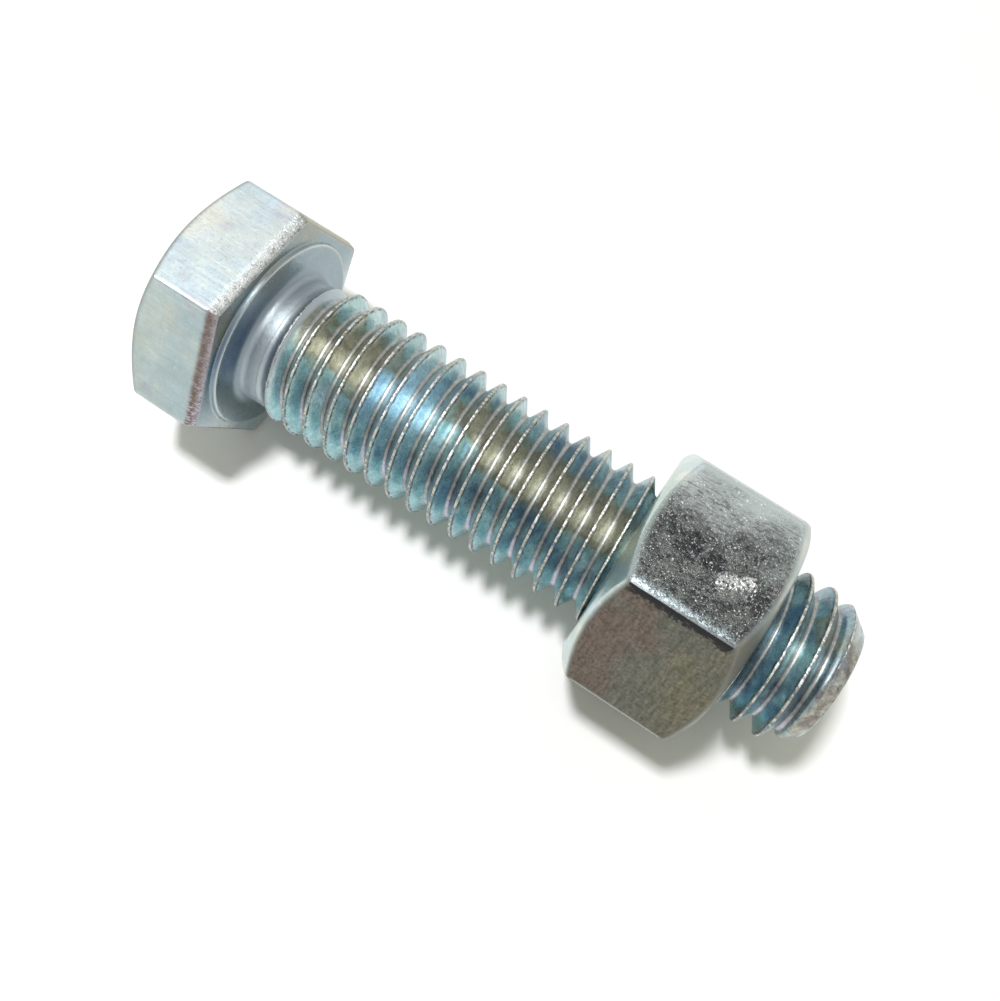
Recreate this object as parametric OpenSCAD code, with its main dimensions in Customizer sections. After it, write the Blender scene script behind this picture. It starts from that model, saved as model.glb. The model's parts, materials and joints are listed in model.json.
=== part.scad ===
// Hex-head screw, threaded to just under its head, with a hex nut run most of the way on.
// A half inch coarse thread, 13 turns to the inch. All sizes are in millimetres.
// The pair lies on a table on one flat of each hexagon: +Z is up and the axis runs along +X,
// from the head to the tip. The origin is on the table under the middle of the length.

/* [Hexagons] */
// Spanner size across the flats of the head and the nut
across_flats = 18.7; // [17.5:0.1:20]
// Slope of the corner chamfers, in degrees from the end faces
chamfer_angle = 32; // [15:1:40]
// How far the chamfer's end circle lies inside the flats
chamfer_inset = 0.8; // [0.2:0.1:1.5]

/* [Head] */
// Height of the head, from its top to the washer face that bears on the work
head_h = 7.6; // [6:0.1:10]
// Height of the washer face above the underside of the hexagon
washer_face_h = 0.4; // [0.2:0.1:0.8]
// How far the rim of the washer face lies inside the flats
washer_face_inset = 1.1; // [0.3:0.05:1.5]
// Length along the axis of the trimmed edge between each flat and the underside
trim_len = 1; // [0.3:0.1:1.5]
// How far the trimmed edge cuts in from each flat
trim_inset = 0.3; // [0.1:0.1:0.7]

/* [Shank] */
// Length from the washer face to the tip
shank_len = 50.5; // [45:0.1:80]
// Length of the plain neck under the head, its fillet included
neck_len = 1.7; // [1.2:0.1:5]
// Radius of the fillet between the washer face and the neck
neck_fillet = 0.8; // [0.3:0.1:1]
// Slope of the chamfer at the tip, in degrees from the axis
tip_angle = 38; // [30:1:60]
// How far the end face's edge lies under the root of the thread
tip_under_root = 0.4; // [0.1:0.05:0.6]

/* [Thread] */
// Diameter over the crests of the thread
thread_d = 12.5; // [11.5:0.1:13]
// Distance along the axis from one crest to the next
pitch = 1.954; // [1.5:0.001:2.4]
// Length over which the first turn rises out of the neck
run_out_len = 2.1; // [1:0.1:3]
// Where round the shank the thread starts, in degrees
thread_clock = 278; // [0:1:359]

/* [Nut] */
// Height of the nut
nut_h = 11; // [8:0.1:14]
// Distance from the washer face of the head to the near face of the nut
nut_place = 32.5; // [8:0.1:34]
// Radial clearance between the crests of the thread and the nut's bore
bore_clearance = 0.1; // [0.05:0.01:0.3]
// Radial width of the countersink at each end of the bore
countersink_w = 0.5; // [0.2:0.1:0.8]

/* [Hidden] */

plate_colour = "#b8c4c9";
nut_colour = "#8f9696";

// The hexagon, its corners and the circle in which each end chamfer finishes
flat_r = across_flats / 2;
corner_r = flat_r / cos(30);
chamfer_r = flat_r - chamfer_inset;
washer_face_r = flat_r - washer_face_inset;
hex_turn = 30;

// A 60 degree thread: flat crests an eighth of the pitch wide, 17/24 of the sharp height deep
flank_angle = 30;
sharp_h = pitch / (2 * tan(flank_angle));
thread_depth = sharp_h * 17 / 24;
crest_flat = pitch / 8;
flank_len = thread_depth * tan(flank_angle);
crest_r = thread_d / 2;
root_r = crest_r - thread_depth;

// The neck is the blank that the thread was rolled on, as thick as the middle of the flanks
neck_r = crest_r - sharp_h * 3 / 8;
tip_r = root_r - tip_under_root;
bore_r = crest_r + bore_clearance;
countersink_r = bore_r + countersink_w;

// Where the pair lies
axis_z = flat_r;
washer_face_x = head_h - (head_h + shank_len) / 2;

// Facets of the thread, and how far it starts inside the neck and under its surface
thread_sides = 36;
thread_sink = 0.1;
thread_step = 0.12;
fillet_steps = 6;
over = 1;
$fn = 96;

// One turn of the thread along the axis: root, crest, crest, root, as [place, radius]
thread_form = [
    [-crest_flat / 2 - flank_len, root_r],
    [-crest_flat / 2, crest_r],
    [crest_flat / 2, crest_r],
    [crest_flat / 2 + flank_len, root_r]
];
form_n = len(thread_form);
thread_lo = neck_len - thread_sink;
thread_hi = shank_len;
first_turn = floor(thread_lo / pitch) - 2;
last_turn = ceil(thread_hi / pitch) + 1;
line_n = form_n * (last_turn - first_turn);

// The surface is drawn on lines along the shank, one for each side.
// Corner m of line i lies a little further along than corner m of line i - 1: that is the helix.
function free_place(i, m) =
    pitch * (first_turn + floor(m / form_n) + i / thread_sides + thread_clock / 360)
    + thread_form[m % form_n][0];
function place(i, m) = max(thread_lo, min(thread_hi, free_place(i, m)));

// The thread rises out of the neck at one end and is cut off by the tip's chamfer at the other
function rise(z) = max(0, min(1, (z - neck_len) / run_out_len));
function tip_cone_r(z) = tip_r + (thread_hi - z) * tan(tip_angle);
function blank_r() = neck_r - thread_step;
function shank_r(z, r) = min(tip_cone_r(z), blank_r() + (r - blank_r()) * rise(z));

function corner(i, m) =
    let (z = place(i, m), r = shank_r(z, thread_form[m % form_n][1]), a = 360 * i / thread_sides)
    [r * cos(a), r * sin(a), z];

// The last corner of each line at or before the start, and the first at or after the end
line_lo = [for (i = [0:thread_sides - 1])
    len([for (m = [0:line_n - 1]) if (free_place(i, m) <= thread_lo) m]) - 1];
line_hi = [for (i = [0:thread_sides - 1])
    len([for (m = [0:line_n - 1]) if (free_place(i, m) < thread_hi) m])];

// The number of a corner, where the line after the last one is the first line a turn further on
function corner_id(i, m) =
    i == thread_sides ? corner_id(0, m + form_n)
    : i * line_n + max(line_lo[i], min(line_hi[i], m));
function whole(f) = f[0] != f[1] && f[1] != f[2] && f[2] != f[0];

module thread() {
    corners = [for (i = [0:thread_sides - 1]) for (m = [0:line_n - 1]) corner(i, m)];
    skin = [
        for (i = [0:thread_sides - 1])
            for (m = [0:line_n - form_n - 2])
                let (a = corner_id(i, m), b = corner_id(i + 1, m),
                     c = corner_id(i + 1, m + 1), d = corner_id(i, m + 1))
                for (f = [[a, c, b], [a, d, c]])
                    if (whole(f)) f
    ];
    start_face = [for (i = [0:thread_sides - 1]) corner_id(i, 0)];
    end_face = [for (i = [thread_sides - 1:-1:0]) corner_id(i, line_n - 1)];
    polyhedron(points = corners, faces = concat(skin, [start_face, end_face]), convexity = 10);
}

// Everything turned about the axis under the head: washer face, fillet and plain neck
module neck() {
    fillet = [for (k = [0:fillet_steps])
        let (a = 90 * k / fillet_steps)
        [neck_r + neck_fillet * (1 - sin(a)), neck_fillet * (1 - cos(a))]];
    rotate_extrude()
        polygon(concat(
            [[0, -head_h / 2], [washer_face_r, -head_h / 2], [washer_face_r, 0]],
            fillet,
            [[neck_r, neck_len], [0, neck_len]]
        ));
}

// A bar with six flats, lying as the nut and the head do
module hex_bar(z, h) {
    translate([0, 0, z])
        rotate(hex_turn)
            cylinder(r = corner_r, h = h, $fn = 6);
}

// The turned outline that chamfers the corners of a hexagon from z = 0 to z = h
module chamfered_blank(h, both_ends) {
    wide = corner_r + over;
    drop = (wide - chamfer_r) * tan(chamfer_angle);
    far_end = both_ends ? [[wide, h - drop], [chamfer_r, h]] : [[wide, h]];
    rotate_extrude()
        polygon(concat([[0, 0], [chamfer_r, 0], [wide, drop]], far_end, [[0, h]]));
}

// What is trimmed off the edge between one flat and the underside of the head
module edge_trim() {
    translate([flat_r, 0, -washer_face_h - trim_len])
        rotate([0, -atan2(trim_inset, trim_len), 0])
            translate([0, -across_flats, -across_flats])
                cube([across_flats, 2 * across_flats, 2 * across_flats]);
}

module head() {
    hex_h = head_h - washer_face_h;
    difference() {
        intersection() {
            hex_bar(-head_h, hex_h);
            translate([0, 0, -head_h])
                chamfered_blank(hex_h, false);
        }
        for (k = [0:5])
            rotate(60 * k)
                edge_trim();
    }
}

// Lays a piece that was drawn along Z, from the washer face, along the pair's axis
module on_axis(from_washer_face = 0) {
    translate([washer_face_x + from_washer_face, 0, axis_z])
        rotate([0, 90, 0])
            children();
}

module hex_bolt() {
    color(plate_colour)
        on_axis() {
            head();
            neck();
            thread();
        }
}

module countersink() {
    translate([0, 0, -over])
        cylinder(r1 = countersink_r + over, r2 = bore_r, h = countersink_w + over);
}

module hex_nut() {
    color(nut_colour)
        on_axis(nut_place)
            difference() {
                intersection() {
                    hex_bar(0, nut_h);
                    chamfered_blank(nut_h, true);
                }
                translate([0, 0, -over])
                    cylinder(r = bore_r, h = nut_h + 2 * over);
                countersink();
                translate([0, 0, nut_h])
                    mirror([0, 0, 1])
                        countersink();
            }
}

hex_bolt();
hex_nut();
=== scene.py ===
"""Dresses the hex bolt and its nut, and lays them out to be photographed.

The bolt and the nut are each one closed surface of two parameters: a profile that runs along the axis,
and the angle round the axis. Threads are the same profile sheared along the axis by one pitch a turn.
"""
import json
import math
from functools import partialmethod

import bpy
import numpy as np
from mathutils import Color, Matrix, Vector


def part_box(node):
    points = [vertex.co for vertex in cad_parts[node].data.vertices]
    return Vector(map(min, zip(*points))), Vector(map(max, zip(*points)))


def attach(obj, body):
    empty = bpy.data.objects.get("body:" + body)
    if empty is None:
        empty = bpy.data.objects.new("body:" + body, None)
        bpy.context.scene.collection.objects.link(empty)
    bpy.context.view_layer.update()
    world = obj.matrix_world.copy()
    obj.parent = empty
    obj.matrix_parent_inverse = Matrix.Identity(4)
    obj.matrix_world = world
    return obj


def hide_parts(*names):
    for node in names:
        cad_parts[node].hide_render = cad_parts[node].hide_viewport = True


bl_info = {
    "name": "Hex bolt with nut",
    "version": (1, 0, 0),
    "blender": (4, 5, 0),
    "location": "3D View > Sidebar > Bolt",
    "description": "Makes a zinc plated hex bolt and its nut, their finishes and the stage",
    "category": "Object",
}

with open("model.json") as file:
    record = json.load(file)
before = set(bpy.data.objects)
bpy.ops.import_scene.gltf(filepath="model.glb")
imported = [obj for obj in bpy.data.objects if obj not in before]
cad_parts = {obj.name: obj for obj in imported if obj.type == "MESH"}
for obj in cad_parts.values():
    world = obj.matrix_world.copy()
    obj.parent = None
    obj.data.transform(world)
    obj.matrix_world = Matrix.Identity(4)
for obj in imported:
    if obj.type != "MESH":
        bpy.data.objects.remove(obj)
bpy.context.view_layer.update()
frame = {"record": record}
BOLT_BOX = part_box("hex_bolt")
NUT_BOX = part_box("hex_nut")
MOUNTS = {mount["name"]: mount for mount in frame["record"]["mounts"]}

MM = 0.001
WASHER_FACE_X = MOUNTS["under_head_face"]["pos_m"][0]
AXIS_Z = (BOLT_BOX[0][2] + BOLT_BOX[1][2]) / 2
FLAT_R = (BOLT_BOX[1][2] - BOLT_BOX[0][2]) / 2
HEAD_H = WASHER_FACE_X - BOLT_BOX[0][0]
SHANK_LEN = BOLT_BOX[1][0] - WASHER_FACE_X
NUT_START = NUT_BOX[0][0] - WASHER_FACE_X
NUT_END = NUT_BOX[1][0] - WASHER_FACE_X

# Columns of vertices in each sixth of a turn, and how much they crowd towards the corners
SECTOR_COLUMNS = 36
COLUMNS = 6 * SECTOR_COLUMNS
CORNER_CROWDING = 0.8

# Roundings, the hole left for a surface's pole, the painted dark line of shade at the head's chamfers, and
# how many roundings the painted highlight on the washer face's rim reaches
POLE_R = 0.02 * MM
RIM_EASE = 0.12 * MM
TIP_EASE = 0.1 * MM
ROOT_EASE = 0.3 * MM
CREST_EASE = 0.07 * MM
CHAMFER_SHADE_W = 0.3 * MM
RIM_HIGHLIGHT_REACH = 1.2
# Longest rounding, as a share of the straight run that it takes from
EASE_SHARE = 0.45

# Depth of the thread, and of the blank under its crests, as shares of the sharp triangle's height
THREAD_SHARE = 17 / 24
BLANK_SHARE = 3 / 8
# Shares of the crest's flat that wear has left, and of the thread's depth that the nut's teeth fill
CREST_LEFT = 0.75
TOOTH_SHARE = 0.82
# Rows nearer than this share of the pitch to a thread's end fold into its end ring
FOLD_SHARE = 0.02

# How many times faster than the thread its crests rise in the run-out, and the height that the tip's
# chamfer counts as
FIRST_CREST = 4.0
TIP_HEIGHT = 0.4
# Reach of a flat's own shade from its middle, and of a nut corner's wear and painted highlights
FLAT_REACH = math.radians(28)
CORNER_REACH = math.radians(9)
# Painted shade on the nut's far chamfer, laid as film that grows towards the front: on the axis, the distance
# over which it grows by 1, and its range
SHADE_MIDDLE = 0.35
SHADE_SPREAD = 7 * MM
SHADE_RANGE = (0.32, 0.9)

# How light each flat of the head is as painted shade, and how much brown film each of the nut's has, from 30
# degrees on
HEAD_SHADES = (0.92, 1.0, 0.74, 0.88, 0.82, 0.86)
NUT_FILM = (0.35, 0.0, 1.0, 0.5, 0.8, 0.6)

# Olive stains on the thread: millimetres from the washer face, to the back and above the axis, and reach
STAINS = (
    ((3.6, 0.6, 5.7), 2.4), ((5.0, -1.4, 5.7), 2.2), ((6.9, 1.2, 5.8), 2.4), ((8.2, -1.2, 5.8), 2.6),
    ((9.0, -2.2, 5.4), 2.0), ((9.6, 1.0, 5.9), 2.4), ((19.0, 0.6, 5.9), 2.8), ((21.8, -0.8, 5.8), 3.2),
    ((24.7, -0.9, 5.8), 3.3), ((27.6, -1.2, 5.8), 3.4), ((30.5, -1.1, 5.8), 3.2), ((47.6, 0.8, 5.6), 1.6))
# A painted blue highlight glow on the thread, and the scrapes and black smears on top of the nut, in the same
# terms
AZURE_GLOW = ((13.0, -1.2, 5.8), 5.4)
SCRAPES = (((39.2, -1.65, 9.35), 0.9), ((39.9, -1.4, 9.35), 1.0), ((40.7, -1.05, 9.35), 1.0))
SMEARS = (
    ((36.2, -0.8, 9.35), 1.9), ((38.0, -0.9, 9.35), 1.5),
    ((42.0, -1.8, 9.35), 1.7), ((42.3, -4.6, 9.35), 1.7))
# Painted shade under the head, in the same terms, with the mask and the colour of each and its share: a
# blue-black painted shadow by the neck and umber on the ledge, and an umber patch on top of the washer face
UNDER_SHADE_AND_PATCHES = (
    (((0.0, -5.0, 4.6), 5.0), "below", "ink", 0.9), (((0.0, 0.8, 8.3), 3.6), "below", "umber", 0.45),
    (((-0.4, -5.2, 7.2), 3.6), "ledge", "umber", 0.85), (((-0.4, 5.4, 7.9), 3.0), "ledge", "umber", 0.65))
# Share of a blot's reach over which it is full, and height of the relief where it is 1
BLOT_CORE = 0.1
BUMP_DEPTH = 0.06 * MM

# Patches of the tent: direction, degrees at which each begins to fade and ends, and what it adds.
# They are a dark gap, a side wall and two soft boxes.
TENT_PATCHES = (
    ((0.2, 0.27, 0.94), 9, 18, -0.65), ((-0.62, 0.42, 0.66), 14, 36, 0.15),
    ((-0.36, -0.17, 0.92), 8, 24, 4.0), ((0.04, 0.0, 1.0), 7, 16, 4.0))
TENT_LEVEL = 0.8
SOFT_LEVEL = 0.46
SOFT_COLOUR = (0.98, 1.0, 0.86, 1.0)
WHITE = (1.0, 1.0, 1.0, 1.0)
FLOOR_SIZE = 2.0
FADE_START = 80 * MM
FADE_END = 260 * MM
FADE_LEVEL = 0.7
CLIP_START = 5 * MM


def length(name, description, millimetres):
    """A length that the user can change, written here in millimetres."""
    return bpy.props.FloatProperty(
        name=name, description=description, default=millimetres * MM, min=0.0, unit="LENGTH", precision=5)


def angle(name, description, degrees):
    """An angle that the user can change, written here in degrees."""
    return bpy.props.FloatProperty(
        name=name, description=description, default=math.radians(degrees), unit="ROTATION")


def colour(name, description, default):
    """A colour that the user can change, in linear light."""
    return bpy.props.FloatVectorProperty(
        name=name, description=description, default=default, subtype="COLOR", size=3, min=0.0, max=1.0)


class BoltSizes(bpy.types.PropertyGroup):
    """Sizes of the hexagons, the shank and the thread."""
    corner_ease: length("Head corner rounding", "Radius along the six corners of the head", 0.35)
    nut_corner_ease: length("Nut corner rounding", "Radius along the six corners of the nut", 0.9)
    nut_edge_ease: length("Nut edge rounding", "Rounding of the edges round the nut's ends", 0.45)
    edge_ease: length("Edge rounding", "Rounding of the edges round a hexagon's ends", 0.25)
    chamfer_slope: angle("Chamfer slope", "Corner chamfer, from the end faces", 32)
    chamfer_inset: length("Chamfer inset", "How far a chamfer's end circle lies inside the flats", 0.8)
    washer_face_h: length("Washer face height", "Height of the washer face", 0.4)
    washer_face_inset: length("Washer face inset", "How far its rim lies inside the flats", 1.1)
    trim_len: length("Trimmed edge length", "Along the axis, under the head", 1.0)
    trim_inset: length("Trimmed edge inset", "How far the trimmed edge cuts in", 0.3)
    neck_len: length("Neck length", "Plain neck under the head", 1.7)
    neck_fillet: length("Neck fillet", "Fillet between the washer face and the neck", 0.8)
    run_out: length("Run-out", "Where the thread rises out of the neck", 2.1)
    pitch: length("Pitch", "From one crest to the next", 1.954)
    thread_r: length("Thread radius", "Radius over the crests", 6.25)
    thread_clock: angle("Thread start", "Where round the shank the thread starts", 8)
    tip_slope: angle("Tip slope", "Chamfer at the tip, from the axis", 38)
    tip_inset: length("Tip inset", "How far the end face's edge lies under the root", 0.4)
    thread_play: length("Thread play", "Between the nut's thread and the bolt's", 0.08)
    countersink: length("Countersink", "Radial width of the nut's countersinks", 0.5)


class BoltColours(bpy.types.PropertyGroup):
    """Colours of the plating, of its stains and wear, and of the floor."""
    pale: colour("Pale plating", "Flats of the head", (0.70, 0.77, 0.755))
    blue: colour("Blue tint", "Bluish film", (0.60, 0.71, 0.76))
    cream: colour("Cream tint", "Where the film is thin", (0.76, 0.78, 0.71))
    lilac: colour("Lilac tint", "Where the film is thick", (0.58, 0.57, 0.68))
    # Painted shade: the washer face under the head darkened
    under: colour("Under the head", "Washer face", (0.245, 0.315, 0.36))
    # Painted shade: the blue-black shadow by the neck, and the dark band on the thread
    ink: colour("Ink tint", "Darkest tint", (0.1, 0.155, 0.24))
    # Painted shade: the fillet between the washer face and the neck darkened
    fillet_shade: colour("Fillet", "Fillet under the head", (0.26, 0.305, 0.345))
    neck: colour("Neck", "Plain neck", (0.45, 0.505, 0.54))
    teal: colour("Thread teal", "Flanks of the thread", (0.41, 0.57, 0.58))
    navy: colour("Thread navy", "Darkest patches on the flanks", (0.23, 0.35, 0.43))
    # Painted shade: the low sides of the thread tinted a darker turquoise
    shade_turquoise: colour("Turquoise tint", "Low on the sides of the thread", (0.31, 0.56, 0.6))
    # Painted highlight: a bright blue glow on the thread's flanks
    azure_glow: colour("Azure tint", "Bluest patches on the flanks", (0.53, 0.705, 0.81))
    moss: colour("Moss tint", "Round the stains", (0.4, 0.49, 0.43))
    olive: colour("Olive stain", "Stain on the thread", (0.485, 0.49, 0.415))
    umber: colour("Umber stain", "Dark edge of the stains", (0.34, 0.32, 0.255))
    crest: colour("Crest", "Worn metal on the crests", (0.58, 0.57, 0.52))
    # Painted shade: roots darkened down the thread's sides
    root_shade: colour("Plum tint", "Roots on the thread's sides", (0.13, 0.12, 0.145))
    root: colour("Root", "Roots on top of the thread", (0.44, 0.46, 0.46))
    # Also a painted highlight on top of the crests
    spark_and_highlight: colour("Spark", "Bare metal on peaks", (0.92, 0.93, 0.91))
    # Also painted shade: the dark rim along the crests, the dark line at the head's chamfer and the nut's far
    # chamfer
    grime_and_shade: colour("Grime", "Dark specks along crests and edges", (0.12, 0.11, 0.09))
    crease: colour("Crease", "Black line beside the nut's corner", (0.035, 0.035, 0.04))
    torn: colour("Torn edge", "Torn metal on the trimmed edge", (0.66, 0.69, 0.68))
    trim_brown: colour("Trimmed edge brown", "Brown film on the trimmed edge", (0.2, 0.15, 0.13))
    nut_slate: colour("Nut slate", "Dark pitted plating on the nut", (0.155, 0.17, 0.16))
    nut_brown: colour("Nut brown", "Brown film on the nut's flats", (0.16, 0.13, 0.11))
    nut_olive: colour("Nut olive", "Olive film on the nut's flats", (0.165, 0.155, 0.112))
    nut_green: colour("Nut green", "Green film on the nut's flats", (0.14, 0.145, 0.125))
    nut_mint: colour("Nut mint", "Chamfers of the nut", (0.54, 0.63, 0.60))
    floor: colour("Floor", "The paper that the pair lies on", (0.93, 0.925, 0.915))


def column_angles():
    """Angles round the axis from +Y towards +Z, crowded towards the six corners of a hexagon.

    In each 60 degree sector the share t of the way becomes t - c sin(2 pi t) / 2 pi.
    """
    t = np.arange(COLUMNS) / SECTOR_COLUMNS
    return (t - CORNER_CROWDING * np.sin(2 * np.pi * t) / (2 * np.pi)) * np.pi / 3


def hexagon(flat_r, corner_ease, phi):
    """Radius of a hexagon with rounded corners at each angle phi.

    Flats are flat_r / cos of the angle from their middle. A corner is the outer crossing of the ray
    with a circle of radius corner_ease whose centre is on the corner's own ray.
    """
    off_corner = np.abs((phi + np.pi / 6) % (np.pi / 3) - np.pi / 6)
    centre = (flat_r - corner_ease) / np.cos(np.pi / 6)
    reach = np.arctan2(corner_ease * 0.5, centre + corner_ease * np.cos(np.pi / 6))
    inside = np.maximum(corner_ease ** 2 - (centre * np.sin(off_corner)) ** 2, 0.0)
    arc = centre * np.cos(off_corner) + np.sqrt(inside)
    return np.where(off_corner < reach, arc, flat_r / np.cos(np.pi / 6 - off_corner))


def eased_path(corners, ease, runs, arc_steps=5):
    """Rows of points along a path of straight runs, with each inner corner eased.

    corners has the shape (corner, column, 2). Between the points that lie ease before and ease after
    a corner, the path is the quadratic curve whose middle control point is the corner. Straight runs
    get the number of points in runs, crowded towards both ends by a cosine.
    """
    leave, arrive, arcs = [corners[0]], [], []
    t = np.linspace(0, 1, arc_steps + 1)[:, None, None]
    for before, here, after, amount in zip(corners, corners[1:], corners[2:], ease):
        for end, runs_to in ((arrive, before), (leave, after)):
            run = runs_to - here
            run_len = np.maximum(np.linalg.norm(run, axis=1, keepdims=True), 1e-9)
            end.append(here + run * np.minimum(amount / run_len, EASE_SHARE))
        arcs.append((1 - t) ** 2 * arrive[-1] + 2 * t * (1 - t) * here + t ** 2 * leave[-1])
    arrive.append(corners[-1])
    rows = [corners[:1]]
    for k, count in enumerate(runs):
        s = (0.5 - 0.5 * np.cos(np.pi * np.arange(1, count + 1) / (count + 1)))[:, None, None]
        rows.append(leave[k] + (arrive[k] - leave[k]) * s)
        rows.append(arcs[k] if k < len(arcs) else corners[-1:])
    return np.concatenate(rows)


def thread_form(sizes):
    """One pitch of a 60 degree thread as places along the axis and depths under the crest.

    The sharp triangle, as deep as half the pitch over tan 30, is cut off at 17/24 of its height. The flats
    that are left at the crest, an eighth of the pitch, and at the root are eased into the flanks, and
    wear has narrowed the crest.
    """
    sharp = sizes.pitch / (2 * math.tan(math.pi / 6))
    depth = sharp * THREAD_SHARE
    flank = depth * math.tan(math.pi / 6)
    half_root = sizes.pitch * 7 / 16 - flank
    half_crest = sizes.pitch / 16 * CREST_LEFT
    middle = sizes.pitch / 2
    corners = [[-middle, depth], [-middle + half_root, depth], [-half_crest, 0.0],
               [half_crest, 0.0], [middle - half_root, depth], [middle, depth]]
    ease = [ROOT_EASE, CREST_EASE, CREST_EASE, ROOT_EASE]
    path = eased_path(np.array(corners)[:, None, :], ease, (0, 1, 0, 1, 0), arc_steps=2)[:-1, 0]
    return path[:, 0], path[:, 1], depth


def soft_min(a, b, width):
    """The smaller of a and b, rounded over width where they cross."""
    h = np.clip(0.5 + 0.5 * (b - a) / width, 0, 1)
    return b + (a - b) * h - width * h * (1 - h)


def helix_grid(sizes, start, end, phi, form_place):
    """Places along the axis of a thread's rows on each column, and which rows lie past its ends.

    Row m of column phi lies at pitch * (whole turns + phi / 2 pi + start turn) + its place in the form.
    """
    count = len(form_place)
    first = math.floor(start / sizes.pitch) - 2
    turns = math.ceil(end / sizes.pitch) + 2 - first
    whole = np.repeat(np.arange(first, first + turns), count)[:, None]
    clock = phi / (2 * np.pi) + sizes.thread_clock / (2 * np.pi)
    place = sizes.pitch * (whole + clock) + np.tile(form_place, turns)[:, None]
    tight = FOLD_SHARE * sizes.pitch
    before = (place <= start + tight).sum(axis=0) - 1
    after = (place < end - tight).sum(axis=0)
    return place, before, after


def helix_faces(first_id, form_count, before, after, rows, start_ring, end_ring):
    """Triangles of a helical skin between a ring of vertices at its start and one at its end.

    The column after the last is the first column one turn further on. Rows past an end fold into
    that end's ring, and triangles that vanish there are dropped.
    """
    row = np.arange(rows)[:, None]
    ids = first_id + row * COLUMNS + np.arange(COLUMNS)
    ids = np.where(row <= before, start_ring, ids)
    ids = np.where(row >= after, end_ring, ids)
    wrap = np.concatenate([ids[form_count:, :1], np.full((form_count, 1), end_ring[0])])
    return grid_triangles(np.concatenate([ids, wrap], axis=1))


def grid_triangles(ids):
    """Two triangles for each cell of a grid of vertex numbers, without those that have no area."""
    a, b, c, d = ids[:-1, :-1], ids[:-1, 1:], ids[1:, 1:], ids[1:, :-1]
    faces = np.stack([np.stack([a, b, c], -1), np.stack([a, c, d], -1)], 2).reshape(-1, 3)
    keep = (faces[:, 0] != faces[:, 1]) & (faces[:, 1] != faces[:, 2]) & (faces[:, 2] != faces[:, 0])
    return faces[keep]


def ring_faces(first_id, rows):
    """Triangles between closed rings of vertices that follow one another."""
    ids = first_id + np.arange(rows)[:, None] * COLUMNS + np.arange(COLUMNS)
    return grid_triangles(np.concatenate([ids, ids[:, :1]], axis=1))


def on_axis(place, radius, phi):
    """Points in the part's frame from the place along the axis, the radius and the angle round it."""
    place, radius, phi = np.broadcast_arrays(place, radius, phi)
    points = np.stack([WASHER_FACE_X + place, radius * np.cos(phi), AXIS_Z + radius * np.sin(phi)], -1)
    return points.reshape(-1, 3)


def make_mesh(name, points, triangles, masks):
    """A mesh object at the origin from arrays of points and triangles, without unused points.

    masks holds one number for each point under the name that the materials read it by.
    """
    used = np.unique(triangles)
    number = np.full(len(points), -1)
    number[used] = np.arange(len(used))
    points, triangles = points[used], number[triangles]
    mesh = bpy.data.meshes.new(name)
    mesh.from_pydata(points.tolist(), [], triangles.tolist(), shade_flat=False)
    for label, values in masks.items():
        layer = mesh.attributes.new(label, "FLOAT", "POINT")
        layer.data.foreach_set("value", values[used].astype(np.float32))
    mesh.validate()
    piece = bpy.data.objects.new(name, mesh)
    bpy.context.collection.objects.link(piece)
    return piece


def point_masks(count, parts, rest):
    """Masks for count points from parts of the surface.

    A part is the number of its first point, and an array for each of its masks. Points outside it get
    the number under the mask's name in rest, or 0.
    """
    masks = {}
    for first, values in parts:
        for name, numbers in values.items():
            whole = masks.setdefault(name, np.full(count, rest.get(name, 0.0)))
            whole[first:first + numbers.size] = numbers.ravel()
    return masks


def column_points(*pairs):
    """Corners of a path as an array (corner, column, 2), where a single number stands for all columns."""
    return np.stack([np.stack(np.broadcast_arrays(p, r, np.zeros(COLUMNS))[:2], -1) for p, r in pairs])


def flat_values(values, phi):
    """A number for each of the six flats, the first at 30 degrees, blended over 4 degrees at each corner."""
    middle = np.radians(30 + 60 * np.arange(6))
    at = np.stack([middle - FLAT_REACH, middle + FLAT_REACH], -1).ravel()
    return np.interp(phi, at, np.repeat(values, 2), period=2 * np.pi)


def helix_length(place, phi, radius, pitch):
    """Distance along a helix of the given radius and pitch: the turns so far times one turn's length."""
    turns = np.round((place - pitch * phi / (2 * np.pi)) / pitch) + phi / (2 * np.pi)
    return turns * 2 * np.pi * radius


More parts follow.
